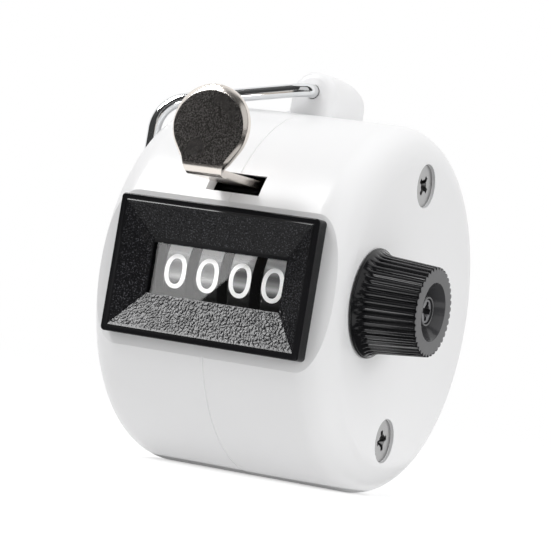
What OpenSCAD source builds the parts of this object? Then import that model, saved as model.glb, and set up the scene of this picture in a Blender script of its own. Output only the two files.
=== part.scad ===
// Hand tally counter: a drum-shaped case in two halves, four number wheels behind a framed window,
// a sprung thumb lever, a reset knob and a finger ring that swings over the top.
// Sizes are in millimetres. The origin is the centre of the drum. +X runs along the drum's axis to
// the knob, -Y looks out of the display and +Z points up to the lug of the finger ring.

/* [Case] */
// Diameter of the drum
case_d = 45; // [43:0.5:50]
// Width of the drum over its two end faces
case_w = 32.2; // [31:0.2:40]
// Rounding of the rim round each end face
rim_r = 4.2; // [3:0.1:5]
// Thickness of the moulded walls
wall = 1.8; // [1.4:0.1:2.2]
// Depth of the flat that is cut into the drum's front for the bezel
flat_depth = 2; // [1.8:0.05:2.6]
// Length of the lip that keys the two halves together
lip_l = 1; // [0.6:0.1:1.6]
// Depth of the groove where the two halves meet
seam = 0.1; // [0.06:0.01:0.2]

/* [Display] */
// Height of the window
window_h = 6.1; // [5:0.1:7]
// Gap between the wheel stack and the window's left and right edges
window_margin = 0.28; // [0.1:0.02:1]
// Width of the bezel left and right of the window
border_x = 4.27; // [3:0.01:5]
// Height of the bezel above and below the window
border_z = 5.2; // [4:0.05:6]
// How far the bezel stands out from the flat
bezel_proud = 1.95; // [1.2:0.05:2.6]
// Width of the smooth rim round the sloped funnel
bezel_rim = 0.8; // [0.5:0.1:1.4]
// Rounding of the bezel's corners
bezel_corner_r = 0.5; // [0.4:0.1:2]
// Thickness of the bezel's edge that overlaps the lens
bezel_floor = 0.45; // [0.15:0.05:0.6]
// Thickness of the clear lens
lens_t = 0.4; // [0.4:0.05:1]
// How far the bezel overlaps the lens on each side
lens_lip = 0.9; // [0.6:0.1:1.4]
// Thickness of the bezel's collar round the lens
collar_wall = 0.9; // [0.6:0.1:1.2]

/* [Number wheels] */
// Height of the wheels' shaft above the drum's axis
shaft_z = 0.3; // [-1:0.1:1]
// Diameter of the shaft
shaft_d = 2.8; // [2.4:0.1:3.2]
// Diameter of a number wheel
wheel_d = 16.6; // [14:0.1:16.8]
// Width of the rim that carries the digits
rim_w = 2.9; // [2.8:0.1:3.8]
// Radial thickness of the rim
rim_t = 0.9; // [0.6:0.1:1.4]
// Thickness of the disc between hub and rim
web_t = 1; // [0.8:0.1:1.4]
// Diameter of the hub
hub_d = 5.2; // [4.6:0.1:6]
// Outer diameter of the ratchet on each wheel
ratchet_d = 6.8; // [6.2:0.1:7.6]
// Width of the ratchet
ratchet_w = 1.2; // [0.7:0.1:1.4]
// Height of a ratchet tooth
tooth_h = 0.7; // [0.4:0.1:0.9]
// Gap between one wheel and the next
wheel_gap = 0.2; // [0.1:0.05:0.4]
// Length of the sleeve at each end of the wheel stack
spacer_l = 1.1; // [0.6:0.1:2]

/* [Reset knob] */
// How far the knob stands out from the end face
knob_l = 7.9; // [6:0.1:10]
// Diameter of the flange at the knob's foot
flange_d = 13.1; // [12:0.1:14.5]
// Thickness of the flange
flange_t = 0.5; // [0.4:0.1:1.2]
// Rounding of the flange's edge
flange_round = 0.2; // [0.1:0.05:0.4]
// Diameter of the fluted part at its foot
knob_base_d = 11.9; // [10.5:0.1:12.4]
// Diameter of the fluted part at its end
knob_end_d = 10.6; // [9.5:0.1:11.5]
// Number of flutes
flutes = 40; // [24:2:44]
// Radius of one flute
flute_r = 0.28; // [0.2:0.02:0.34]
// Diameter of the recess at the knob's end face
recess_d = 6.9; // [6:0.1:7.4]
// Depth of the recess
recess_depth = 1.9; // [1.4:0.1:3]
// Diameter of the recess at its bottom
recess_floor_d = 5.4; // [5:0.1:6]
// Diameter of the boss in the recess
boss_d = 3.6; // [3.5:0.1:4.4]
// How far the boss ends below the knob's end face
boss_drop = 0.6; // [0.5:0.1:1.3]

/* [Thumb lever] */
// Thickness of the lever's sheet
lever_t = 0.9; // [0.7:0.05:1.1]
// Width of the arm and the neck
arm_w = 4.6; // [3.6:0.1:5.4]
// Depth of the arm below the top of the drum
arm_drop = 10.65; // [10:0.05:11.2]
// Diameter of the thumb pad
pad_d = 9.7; // [8:0.05:11]
// Distance of the pad's face from the front of the drum
pad_out = 5.95; // [4:0.05:8]
// Height of the pad's centre above the arm
pad_rise = 5.3; // [4.9:0.05:7]
// Width of the bevel round the pad
pad_bevel = 0.45; // [0.2:0.05:0.6]
// Inner radius of the bend below the pad
bend_r = 0.5; // [0.3:0.05:1.2]
// Swing of the lever from rest to fully pressed, in degrees
press_deg = 10; // [6:0.5:11]
// Diameter of the lever's pivot pin
pin_d = 1.4; // [1:0.1:1.8]
// Wall of the barrel round the pin
barrel_wall = 0.55; // [0.4:0.05:0.7]
// Gap between the end of the lever's tail and the case posts
tail_gap = 0.53; // [0.3:0.01:1.2]
// Distance from the tail's end to the return spring
spring_in = 2.2; // [2:0.1:3]
// Outer diameter of the return spring
spring_d = 3.6; // [3:0.1:4]
// Diameter of the spring's wire
spring_wire = 0.5; // [0.4:0.05:0.6]
// Number of turns of the spring
spring_turns = 4; // [3:0.5:4.5]

/* [Finger ring] */
// Diameter of the ring's wire
wire_d = 1.7; // [1.2:0.1:2]
// Height of the lug's hole above the drum's top
eye_rise = 2.7; // [2.3:0.1:3.4]
// Radius of the lug's arched top
lug_r = 3.05; // [2.3:0.05:3.4]
// Height of the lug's hole above the middle of its arch
eye_lift = 0.45; // [0:0.05:0.8]
// Rounding of the lug's front edge
lug_edge = 1; // [0.5:0.1:1.2]
// Distance of the lug's front face ahead of the drum's axis
lug_front = 2.8; // [2:0.1:4]
// Length of the lug from front to rear
lug_l = 9.3; // [8:0.1:11]
// Rounding of the lug's rear end
lug_round = 4; // [2:0.1:5]
// Distance from the drum's left face to the ring's legs
leg_gap = 0.65; // [0.2:0.05:2]
// Width of the ring between the middles of its legs
ring_w = 21.7; // [18:0.1:26]
// Length of a leg from the ring's shoulder down to the cross-bar
leg_l = 15.9; // [12:0.1:20]
// How far the wire stands out of the lug before it bends
ring_stand = 1.8; // [1.7:0.05:3]
// Length of wire that sits in the lug at each end
ring_tang = 3.4; // [2:0.1:4]
// Bend radius of the wire at the lug
bend_eye = 2; // [1.6:0.1:2.1]
// Bend radius of the wire at the shoulder
bend_shoulder = 4.2; // [3:0.1:5]
// Bend radius of the wire at the cross-bar
bend_bar = 3.5; // [2:0.1:5]

/* [Chassis and fasteners] */
// Thickness of the chassis sheet
plate_t = 0.9; // [0.7:0.05:1.2]
// Thickness of the pawl and detent springs
comb_t = 0.3; // [0.2:0.05:0.4]
// Width of one finger of the pawl and detent springs
finger_w = 0.6; // [0.4:0.05:0.7]
// Distance from the wheels' shaft back to the bar that carries the detent spring
bar_back = 8.7; // [8.5:0.1:9.5]
// Distance from the wheels' shaft down to the top of that bar
bar_drop = 5.8; // [5.4:0.1:6.4]
// Height of that bar
bar_h = 4.4; // [3.6:0.1:5]
// Diameter of the rivets
rivet_d = 1; // [0.8:0.1:1.3]
// How far the heads of rivets and pin stand out, sideways and along
head_out = 0.4; // [0.3:0.05:0.5]
// Diameter of the case screws
screw_d = 2.5; // [2:0.1:3]
// Diameter of a case screw's countersunk head
screw_head_d = 5.2; // [4.6:0.1:5.4]
// Depth of the screws' heads below the end face
screw_sink = 0.35; // [0.2:0.05:0.6]
// Length of a case screw
screw_l = 22; // [18:0.5:26]
// Diameter of the posts that take the case screws
post_d = 5.4; // [4.8:0.1:6]
// Distance from the drum's outside to the middle of a post
post_inset = 6.9; // [6.8:0.1:7.4]
// Distance of the posts ahead of the drum's axis
post_front = 0.75; // [0:0.05:1.2]

/* [Clearances] */
// Radial clearance of turning fits
run_clear = 0.05; // [0.02:0.01:0.09]
// Clearance of pieces that sit in a seat
seat_clear = 0.05; // [0.02:0.01:0.1]
// Clearance between the wheels and the lens, and beside pieces that move
move_clear = 0.2; // [0.15:0.01:0.3]

/* [Hidden] */
$fn = 64;

wheels = 4;
digits = 10;
// How far a cut reaches past the piece that it cuts
past = 1;

case_r = case_d / 2;
half_w = case_w / 2;
inner_r = case_r - wall;
inner_w = half_w - wall;
inner_rim_r = rim_r - wall;
flat_y = case_r - flat_depth;
far = case_d + case_w;
lip_gap = 0.1;

// The display: bezel on the flat, lens behind its edge, wheels behind the lens
pitch = rim_w + ratchet_w + wheel_gap;
stack_w = wheels * pitch - wheel_gap;
window_w = stack_w + 2 * window_margin;
bezel_w = window_w + 2 * border_x;
bezel_h = window_h + 2 * border_z;
lens_w = window_w + 2 * lens_lip;
lens_h = window_h + 2 * lens_lip;
collar_w = lens_w + 2 * (seat_clear + collar_wall);
collar_h = lens_h + 2 * (seat_clear + collar_wall);
lens_y = flat_y - bezel_floor;
lens_back = lens_y - lens_t;

// The shaft with its wheels and side plates
shaft_r = shaft_d / 2;
wheel_r = wheel_d / 2;
shaft_y = lens_back - move_clear - wheel_r;
plate_in = stack_w / 2 + spacer_l;
plate_out = plate_in + plate_t;
bore_r = shaft_r + run_clear;
ratchet_r = ratchet_d / 2;
clip_t = 0.5;
clip_wide = 1.2;
clip_bite = 0.4;
clip_r = shaft_r + clip_wide;
clip_groove_r = shaft_r - clip_bite;
clip_x = -plate_out - move_clear / 2 - clip_t;
shaft_left = clip_x - 2 * clip_t;
groove_w = 0.7;
groove_depth = 0.45;
knob_x = half_w + move_clear / 2;
knob_end = half_w + knob_l;
recess_flare = past * (recess_d - recess_floor_d) / recess_depth;
flange_edge_r = min(flange_round, flange_t / 2 - seat_clear);
hollow_r = max((flange_d - knob_base_d) / 2 - flange_edge_r, seat_clear);
shaft_drop = 0.3;
shaft_right = knob_end - boss_drop - shaft_drop;
cross_w = 0.6;
cross_depth = 0.8;
cross_taper = 0.6;
// Turn of the lower and the upper screw's cross recess
cross_turn = [20, -25];
bush_l = 2.4;
bush_wall = 1.6;

// The lever with its pin, spring and slot
post_r = post_d / 2;
post_z = case_r - post_inset;
post_collar = 0.9;
post_collar_r = post_r + post_collar;
arm_z = case_r - arm_drop;
arm_top = arm_z + lever_t / 2;
arm_bottom = arm_z - lever_t / 2;
barrel_r = pin_d / 2 + run_clear + barrel_wall;
pin_ring = inner_r - barrel_r - 1.5 * move_clear;
pin_y = sqrt(pin_ring * pin_ring - arm_z * arm_z);
tail_half = plate_in - move_clear;
tail_y = post_front + post_collar_r + tail_gap;
pad_y = case_r + pad_out;
pad_z = arm_z + pad_rise;
bend_y = pad_y - lever_t - bend_r;
bend_z = arm_top + bend_r;
slot_side = 1.2;
slot_over = 0.55;
slot_under = 0.15;
slot_w = arm_w + 2 * slot_side;
slot_top = arm_top + slot_over;
slot_reach = sqrt(case_r * case_r - pow(arm_bottom - lever_t, 2)) - pin_y;
slot_bottom = arm_bottom - slot_reach * tan(press_deg) - slot_under;
spring_y = tail_y + spring_in;
bridge_margin = 0.6;
bridge_half = spring_d / 2 + bridge_margin;
bridge_top = sqrt(inner_r * inner_r - pow(spring_y + bridge_half, 2)) - move_clear;
bridge_z = bridge_top - plate_t;
spring_l = bridge_z - arm_top;
spring_mid_r = (spring_d - spring_wire) / 2;
peg_r = spring_d / 2 - spring_wire - move_clear;
peg_l = plate_t;
pin_head_r = pin_d / 2 + head_out;
stop_w = 1.6;
stop_l = 2;
stop_back = 4;
stop_y = pin_y - stop_back;

// The screws, the chassis outline and the spring combs
plate_ring = 1.5;
post_ring_r = post_r + plate_ring;
shaft_ear_r = shaft_r + 2 * plate_ring;
pin_ear_r = barrel_r + seat_clear;
screw_r = screw_d / 2;
screw_spare = 2;
head_r = screw_head_d / 2;
rivet_r = rivet_d / 2;
rivet_head_r = rivet_r + head_out;
rivet_x = stack_w / 2 - ratchet_w - pitch / 2;
comb_half = stack_w / 2;
comb_base = 2.6;
comb_y = tail_y + comb_base / 2;
pawl_clear = 0.12;
reach_r = ratchet_r + pawl_clear;
bar_y = shaft_y - bar_back;
bar_top = shaft_z - bar_drop;
detent_z = bar_top - bar_h / 2;

// The finger ring: each strand rests on the rim of the drum and a leg hangs down beside the left face
wire_r = wire_d / 2;
eye_z = case_r + eye_rise;
eye_r = wire_r + run_clear;
lug_rear = lug_l - lug_front;
lug_sink = 0.4;
lug_base = sqrt(case_r * case_r - lug_rear * lug_rear) - lug_sink;
lug_mid = eye_z - eye_lift;
lug_top = lug_mid + lug_r;
ring_mid = lug_l / 2 - lug_front;
leg_x = -(half_w + leg_gap + wire_r);
leg_y = ring_mid - ring_w / 2;
eye_y = -lug_front - ring_stand;
crown_x = half_w - rim_r;
crown_y = eye_y + (leg_y - eye_y) * crown_x / -leg_x;
crown_z = sqrt(case_r * case_r - crown_y * crown_y) - rim_r;
crown_dist = norm([crown_x, eye_z - crown_z]);
strand_deg = atan2(eye_z - crown_z, crown_x) - asin((rim_r + wire_r + move_clear) / crown_dist);
shoulder_z = eye_z + leg_x * tan(strand_deg);
bar_z = shoulder_z - leg_l;
wire_step = 0.005;
wire_lap = 0.1;

// Places a drawing in Y and Z at x and gives it a thickness along +X
module along_x(x, length) {
    translate([x, 0, 0])
        rotate([90, 0, 90])
            linear_extrude(length)
                children();
}

// Round bar along X through a point in Y and Z
module bar_x(x, length, y, z, r) {
    translate([x, y, z])
        rotate([0, 90, 0])
            cylinder(r = r, h = length);
}

// Plate that stands in X and Z, from y towards +Y
module plate_y(w, h, y, depth, z) {
    translate([-w / 2, y, z - h / 2])
        cube([w, depth, h]);
}

// Half of a drum with a rounded rim, from the parting plane to +X
module half_drum(r, w, round) {
    rotate([0, 90, 0])
        rotate_extrude($fn = 128)
            union() {
                square([r - round, w]);
                square([r, w - round]);
                translate([r - round, w - round])
                    circle(round);
            }
}

// Everything behind a plane that faces the display
module behind(y) {
    translate([-far, -y, -far])
        cube(2 * far);
}

// Half of the lug's rounded front edge, from its flat face out to its side
module lug_edge_outline() {
    union() {
        square([lug_r - lug_edge, lug_edge]);
        translate([lug_r - lug_edge, 0])
            intersection() {
                circle(lug_edge);
                square(lug_edge);
            }
    }
}

// Lug half on the +X side: an arch with a rounded front edge, rounded down at its rear end
module half_lug() {
    intersection() {
        union() {
            translate([0, lug_rear, 0])
                rotate([90, 0, 0])
                    linear_extrude(lug_l - lug_edge)
                        union() {
                            translate([-lug_r, lug_base])
                                square([2 * lug_r, lug_mid - lug_base]);
                            translate([0, lug_mid])
                                circle(lug_r);
                        }
            translate([0, lug_edge - lug_front, lug_mid])
                rotate([90, 0, 0])
                    rotate_extrude()
                        lug_edge_outline();
            translate([0, lug_edge - lug_front, lug_base])
                linear_extrude(lug_mid - lug_base)
                    mirror([0, 1])
                        lug_edge_outline();
        }
        along_x(0, 2 * lug_r)
            union() {
                translate([-lug_front, lug_base])
                    square([lug_l - lug_round, lug_top - lug_base]);
                translate([-lug_front, lug_base])
                    square([lug_l, lug_top - lug_round - lug_base]);
                translate([lug_rear - lug_round, lug_top - lug_round])
                    circle(lug_round);
            }
    }
}

// Half of the groove that runs round the drum where the halves meet
module seam_cut() {
    rotate([0, 90, 0])
        rotate_extrude($fn = 128)
            polygon([[case_r - seam, -past], [case_r + past, -past],
                     [case_r + past, seam + past], [case_r - seam, 0]]);
}

// Shell, posts and lug of one half, on the +X side
module case_half() {
    difference() {
        intersection() {
            half_drum(case_r, half_w, rim_r);
            behind(flat_y);
        }
        seam_cut();
        intersection() {
            translate([-wall, 0, 0])
                half_drum(inner_r, inner_w + wall, inner_rim_r);
            behind(flat_y - wall);
        }
    }
    half_lug();
    for (side = [-1, 1]) {
        bar_x(0, inner_w + wall / 2, -post_front, side * post_z, post_r);
        bar_x(plate_out + seat_clear, inner_w + wall / 2 - plate_out - seat_clear,
              -post_front, side * post_z, post_collar_r);
    }
}

// Cuts that both halves share: window, lever slot and the lug's hole
module case_cuts() {
    plate_y(collar_w + 2 * seat_clear, collar_h + 2 * seat_clear, -case_r, flat_depth + wall + past, shaft_z);
    translate([-slot_w / 2, -case_r, slot_bottom])
        cube([slot_w, case_r - pin_y, slot_top - slot_bottom]);
    translate([0, -far / 2, eye_z])
        rotate([-90, 0, 0])
            cylinder(r = eye_r, h = far);
}

// Ring round the drum's axis that starts at x
module ring_x(x, length, r_in, r_out) {
    translate([x, 0, 0])
        rotate([0, 90, 0])
            difference() {
                cylinder(r = r_out, h = length, $fn = 128);
                translate([0, 0, -past])
                    cylinder(r = r_in, h = length + 2 * past, $fn = 128);
            }
}

module left_case() {
    color("white")
        difference() {
            union() {
                mirror([1, 0, 0])
                    case_half();
                intersection() {
                    ring_x(-wall / 2, wall / 2 + lip_l, inner_r + lip_gap, inner_r + wall / 2);
                    behind(flat_y - wall);
                }
            }
            case_cuts();
            for (side = [-1, 1])
                bar_x(half_w - screw_l - screw_spare, screw_l, -post_front, side * post_z,
                      screw_r + seat_clear / 2);
        }
}

module right_case() {
    color("white")
        difference() {
            union() {
                case_half();
                bar_x(inner_w - bush_l, bush_l + wall / 2, -shaft_y, shaft_z, bore_r + bush_wall);
            }
            case_cuts();
            ring_x(-past, past + lip_l + seat_clear, inner_r - wall, inner_r + wall / 2 + seat_clear);
            bar_x(0, far, -shaft_y, shaft_z, bore_r);
            for (side = [-1, 1])
                translate([half_w - screw_sink, -post_front, side * post_z])
                    rotate([0, 90, 0]) {
                        translate([0, 0, -far])
                            cylinder(r = screw_r + 2 * seat_clear, h = far + past);
                        translate([0, 0, -head_r - 2 * seat_clear])
                            cylinder(r1 = 0, r2 = head_r + 2 * seat_clear, h = head_r + 2 * seat_clear);
                        cylinder(r = head_r + 2 * seat_clear, h = screw_sink + past);
                    }
        }
}

// Wedge-shaped prism that opens towards the front, for one pair of funnel slopes
module funnel_outline(w_window, w_front) {
    polygon([[-w_window / 2, 0], [w_window / 2, 0],
             [w_front / 2, bezel_proud], [w_front / 2, bezel_proud + past],
             [-w_front / 2, bezel_proud + past], [-w_front / 2, bezel_proud]]);
}

module rounded_plate(w, h, r) {
    union() {
        square([w - 2 * r, h], center = true);
        square([w, h - 2 * r], center = true);
        for (sx = [-1, 1], sz = [-1, 1])
            translate([sx * (w / 2 - r), sz * (h / 2 - r)])
                circle(r);
    }
}

module bezel() {
    color([0.1, 0.1, 0.1])
        translate([0, -flat_y, shaft_z])
            difference() {
                union() {
                    rotate([90, 0, 0])
                        linear_extrude(bezel_proud)
                            rounded_plate(bezel_w, bezel_h, bezel_corner_r);
                    plate_y(collar_w, collar_h, 0, flat_y - lens_back, 0);
                }
                intersection() {
                    translate([0, 0, -bezel_h])
                        mirror([0, 1, 0])
                            linear_extrude(2 * bezel_h)
                                funnel_outline(window_w, bezel_w - 2 * bezel_rim);
                    rotate([0, 90, 0])
                        translate([0, 0, -bezel_w])
                            mirror([0, 1, 0])
                                linear_extrude(2 * bezel_w)
                                    funnel_outline(window_h, bezel_h - 2 * bezel_rim);
                }
                plate_y(window_w, window_h, -bezel_proud, bezel_proud + bezel_floor + past, 0);
                plate_y(lens_w + 2 * seat_clear, lens_h + 2 * seat_clear, bezel_floor, lens_t + past, 0);
            }
}

module window_lens() {
    color([0.85, 0.9, 0.92, 0.4])
        plate_y(lens_w, lens_h, -lens_y, lens_t, shaft_z);
}

// Two slots that cross in a tapered hole, sunk below the plane z = 0
module cross_recess(length) {
    translate([0, 0, -cross_depth])
        cylinder(r1 = cross_w / 2, r2 = cross_w / 2 + cross_taper * (cross_depth + past),
                 h = cross_depth + past);
    for (turn = [0, 90])
        rotate(turn)
            translate([-length / 2, -cross_w / 2, -cross_depth])
                cube([length, cross_w, cross_depth + past]);
}

// Countersunk screws with a cross recess, their heads a little below the right end face
module case_screws() {
    color("lightgrey")
        for (side = [-1, 1])
            translate([half_w - screw_sink, -post_front, side * post_z])
                rotate([0, 90, 0])
                    difference() {
                        union() {
                            translate([0, 0, -screw_l])
                                cylinder(r = screw_r, h = screw_l - head_r / 2);
                            translate([0, 0, screw_r - head_r])
                                cylinder(r1 = screw_r, r2 = head_r, h = head_r - screw_r);
                        }
                        rotate(cross_turn[(side + 1) / 2])
                            cross_recess(2 * screw_r);
                    }
}

// Outline of a chassis side plate in Y and Z, with ears round the posts, the shaft and the lever's pin
module side_plate_outline() {
    corner = shaft_ear_r * cos(45);
    difference() {
        union() {
            polygon([
                [-pin_y - pin_ear_r, arm_z], [-pin_y, arm_z + pin_ear_r],
                [-spring_y - bridge_half, bridge_top], [-post_front, post_z + post_ring_r],
                [-post_front + post_ring_r, post_z], [-bar_y + plate_t, 0],
                [-post_front + post_ring_r, -post_z], [-post_front - post_ring_r, -post_z],
                [-shaft_y - corner, shaft_z - corner], [-shaft_y - shaft_ear_r, shaft_z]
            ]);
            translate([-shaft_y, shaft_z])
                circle(shaft_ear_r);
            translate([-pin_y, arm_z])
                circle(pin_ear_r);
            for (side = [-1, 1])
                translate([-post_front, side * post_z])
                    circle(post_ring_r);
        }
        translate([-shaft_y, shaft_z])
            circle(bore_r);
        translate([-pin_y, arm_z])
            circle(pin_d / 2 + seat_clear / 2);
        for (side = [-1, 1])
            translate([-post_front, side * post_z])
                circle(post_r + seat_clear);
    }
}

module chassis() {
    color([0.75, 0.72, 0.6])
        difference() {
            union() {
                for (x = [-plate_out, plate_in])
                    along_x(x, plate_t)
                        side_plate_outline();
                translate([0, -spring_y, bridge_z + plate_t / 2])
                    cube([2 * plate_in + plate_t, 2 * bridge_half, plate_t], center = true);
                translate([0, -spring_y, bridge_z - peg_l])
                    cylinder(r = peg_r, h = peg_l + plate_t / 2);
                plate_y(2 * plate_in + plate_t, bar_h, -bar_y, plate_t, detent_z);
                for (side = [-1, 1])
                    translate([side * (plate_in - stop_w / 2 + plate_t / 4), -stop_y,
                               arm_bottom - seat_clear - plate_t / 2])
                        cube([stop_w + plate_t / 2, stop_l, plate_t], center = true);
            }
            for (side = [-1, 1])
                translate([side * rivet_x, -bar_y - past, detent_z])
                    rotate([-90, 0, 0])
                        cylinder(r = rivet_r + seat_clear / 2, h = plate_t + 2 * past);
        }
}

// Shaft with the groove that picks up the reset dogs, a clip groove and a cross recess in its right end
module main_shaft() {
    color("silver")
        difference() {
            bar_x(shaft_left, shaft_right - shaft_left, -shaft_y, shaft_z, shaft_r);
            translate([shaft_right, -shaft_y, shaft_z])
                rotate([0, 90, 0])
                    cross_recess(shaft_d - cross_w);
            translate([-stack_w / 2, -shaft_y - groove_w / 2, shaft_z + shaft_r - groove_depth])
                cube([stack_w, groove_w, shaft_r]);
            translate([clip_x - seat_clear, -shaft_y, shaft_z])
                rotate([0, 90, 0])
                    difference() {
                        cylinder(r = clip_r, h = clip_t + 2 * seat_clear);
                        translate([0, 0, -past])
                            cylinder(r = clip_groove_r, h = clip_t + 2 * past);
                    }
        }
}

// Flange with a rounded edge and the hollow that leads from it to the foot of the flutes
module knob_foot() {
    edge = flange_d / 2 - flange_edge_r;
    rotate_extrude()
        union() {
            square([flange_d / 2, flange_t - flange_edge_r]);
            square([edge, flange_t]);
            translate([edge, flange_t - flange_edge_r])
                circle(flange_edge_r);
            difference() {
                square([knob_base_d / 2 + hollow_r, flange_t + hollow_r]);
                translate([knob_base_d / 2 + hollow_r, flange_t + hollow_r])
                    circle(hollow_r);
            }
        }
}

module reset_knob() {
    body_l = knob_end - knob_x - flange_t;
    flute_in = atan2((knob_base_d - knob_end_d) / 2, body_l);
    flute_l = body_l - hollow_r;
    flute_ring = knob_base_d / 2 - hollow_r * tan(flute_in);
    color([0.08, 0.08, 0.08])
        translate([knob_x, -shaft_y, shaft_z])
            rotate([0, 90, 0])
                difference() {
                    union() {
                        knob_foot();
                        translate([0, 0, flange_t])
                            cylinder(d1 = knob_base_d, d2 = knob_end_d, h = body_l);
                    }
                    translate([0, 0, flange_t + body_l - recess_depth])
                        difference() {
                            cylinder(d1 = recess_floor_d, d2 = recess_d + recess_flare,
                                     h = recess_depth + past);
                            translate([0, 0, -past])
                                cylinder(d = boss_d, h = recess_depth - boss_drop + past);
                        }
                    translate([0, 0, -past])
                        cylinder(r = shaft_r + seat_clear / 2, h = knob_l + 2 * past);
                    for (i = [0 : flutes - 1])
                        rotate(i * 360 / flutes)
                            translate([flute_ring, 0, flange_t + hollow_r])
                                rotate([0, -flute_in, 0])
                                    cylinder(r = flute_r, h = flute_l + past, $fn = 16);
                }
}

module shaft_clip() {
    mouth = shaft_d / 2;
    color("dimgrey")
        translate([clip_x, -shaft_y, shaft_z])
            rotate([90, 0, 90])
                linear_extrude(clip_t)
                    difference() {
                        circle(clip_r);
                        circle(clip_groove_r + seat_clear / 2);
                        translate([0, -mouth / 2])
                            square([clip_r + past, mouth]);
                    }
}

module wheel_spacers() {
    color("goldenrod")
        for (x = [-plate_in + seat_clear / 2, stack_w / 2 + seat_clear])
            translate([x, -shaft_y, shaft_z])
                rotate([0, 90, 0])
                    difference() {
                        cylinder(d = hub_d, h = spacer_l - 1.5 * seat_clear);
                        translate([0, 0, -past])
                            cylinder(r = bore_r, h = spacer_l + 2 * past);
                    }
}

// Saw teeth: each rises steeply and falls to the root over one tenth of a turn
function ratchet_points(root, tip) = [
    for (i = [0 : digits - 1], step = [0, 1])
        let (turn = i * 360 / digits, r = step == 0 ? root : tip)
            [r * cos(turn + step), r * sin(turn + step)]
];

function wheel_x(place) = -stack_w / 2 + place * pitch;

dog_post_r = 0.6;
dog_post_out = 0.4;
dog_r = 1.2;
dog_arm = 0.7;
dog_t = 1;
dog_ring = (hub_d / 2 + wheel_r - rim_t) / 2;

// One number wheel: ratchet, hub, disc and rim, with a post and a notch for its reset dog
module number_wheel(place) {
    color([0.1, 0.1, 0.1])
        translate([wheel_x(place), -shaft_y, shaft_z])
            rotate([90, 0, 90])
                difference() {
                    union() {
                        linear_extrude(ratchet_w)
                            polygon(ratchet_points(ratchet_r - tooth_h, ratchet_r));
                        cylinder(d = hub_d, h = ratchet_w + rim_w);
                        translate([0, 0, ratchet_w])
                            cylinder(r = wheel_r - rim_t / 2, h = web_t);
                        translate([0, 0, ratchet_w])
                            difference() {
                                cylinder(r = wheel_r, h = rim_w);
                                translate([0, 0, -past])
                                    cylinder(r = wheel_r - rim_t, h = rim_w + 2 * past);
                            }
                        translate([0, dog_ring, ratchet_w])
                            cylinder(r = dog_post_r, h = web_t + dog_t + dog_post_out);
                    }
                    translate([0, 0, -past])
                        cylinder(r = bore_r, h = ratchet_w + rim_w + 2 * past);
                    translate([-dog_arm / 2 - seat_clear, 0, ratchet_w + web_t])
                        cube([dog_arm + 2 * seat_clear, hub_d, dog_t + 2 * seat_clear]);
                }
}

// Catch inside a wheel, on its post, with the nose pointing to the shaft
module reset_dog(place) {
    color("peru")
        translate([wheel_x(place) + ratchet_w + web_t + seat_clear, -shaft_y, shaft_z])
            rotate([90, 0, 90])
                linear_extrude(dog_t)
                    difference() {
                        union() {
                            translate([0, dog_ring])
                                circle(dog_r);
                            translate([-dog_arm / 2, bore_r + seat_clear])
                                square([dog_arm, dog_ring - bore_r]);
                        }
                        translate([0, dog_ring])
                            circle(dog_post_r + seat_clear / 2);
                    }
}

module number_wheel_thousands() { number_wheel(0); }
module number_wheel_hundreds() { number_wheel(1); }
module number_wheel_tens() { number_wheel(2); }
module number_wheel_units() { number_wheel(3); }
module reset_dog_thousands() { reset_dog(0); }
module reset_dog_hundreds() { reset_dog(1); }
module reset_dog_tens() { reset_dog(2); }
module reset_dog_units() { reset_dog(3); }

// Sheet of the arm seen from the side: along the slot, round the bend and up to the pad
module arm_outline() {
    union() {
        translate([-bend_y, arm_bottom])
            square([bend_y - pin_y, lever_t]);
        intersection() {
            difference() {
                translate([-bend_y, bend_z])
                    circle(bend_r + lever_t);
                translate([-bend_y, bend_z])
                    circle(bend_r);
            }
            translate([-pad_y - past, arm_bottom - past])
                square([pad_y + past - bend_y, bend_z - arm_bottom + past]);
        }
    }
}

// Thumb pad: a round disc with a bevelled front edge that runs down into the neck above the bend
module thumb_pad() {
    pad_r = pad_d / 2;
    neck_z = bend_z - pad_z;
    translate([0, -pad_y, pad_z])
        intersection() {
            union() {
                rotate([-90, 0, 0]) {
                    cylinder(r1 = pad_r - pad_bevel, r2 = pad_r, h = pad_bevel);
                    translate([0, 0, pad_bevel])
                        cylinder(r = pad_r, h = lever_t - pad_bevel);
                }
                translate([-arm_w / 2, 0, neck_z - past])
                    cube([arm_w, lever_t, past - neck_z]);
            }
            translate([-far, -far, neck_z])
                cube(2 * far);
        }
}

module thumb_lever() {
    color("silver")
        difference() {
            union() {
                along_x(-arm_w / 2, arm_w)
                    arm_outline();
                thumb_pad();
                bar_x(-tail_half, 2 * tail_half, -pin_y, arm_z, barrel_r);
                translate([-tail_half, -pin_y, arm_bottom])
                    cube([2 * tail_half, pin_y - tail_y, lever_t]);
                translate([0, -spring_y, arm_z])
                    cylinder(r = peg_r, h = lever_t / 2 + peg_l);
            }
            bar_x(-far, 2 * far, -pin_y, arm_z, pin_d / 2 + run_clear);
            for (side = [-1, 1])
                translate([side * rivet_x, -comb_y, arm_bottom - past])
                    cylinder(r = rivet_r + seat_clear / 2, h = lever_t + 2 * past);
        }
}

module lever_pin() {
    color("dimgrey") {
        bar_x(-plate_out - seat_clear - head_out, 2 * (plate_out + seat_clear + head_out),
              -pin_y, arm_z, pin_d / 2);
        for (x = [-plate_out - seat_clear - head_out, plate_out + seat_clear])
            bar_x(x, head_out, -pin_y, arm_z, pin_head_r);
    }
}

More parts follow.
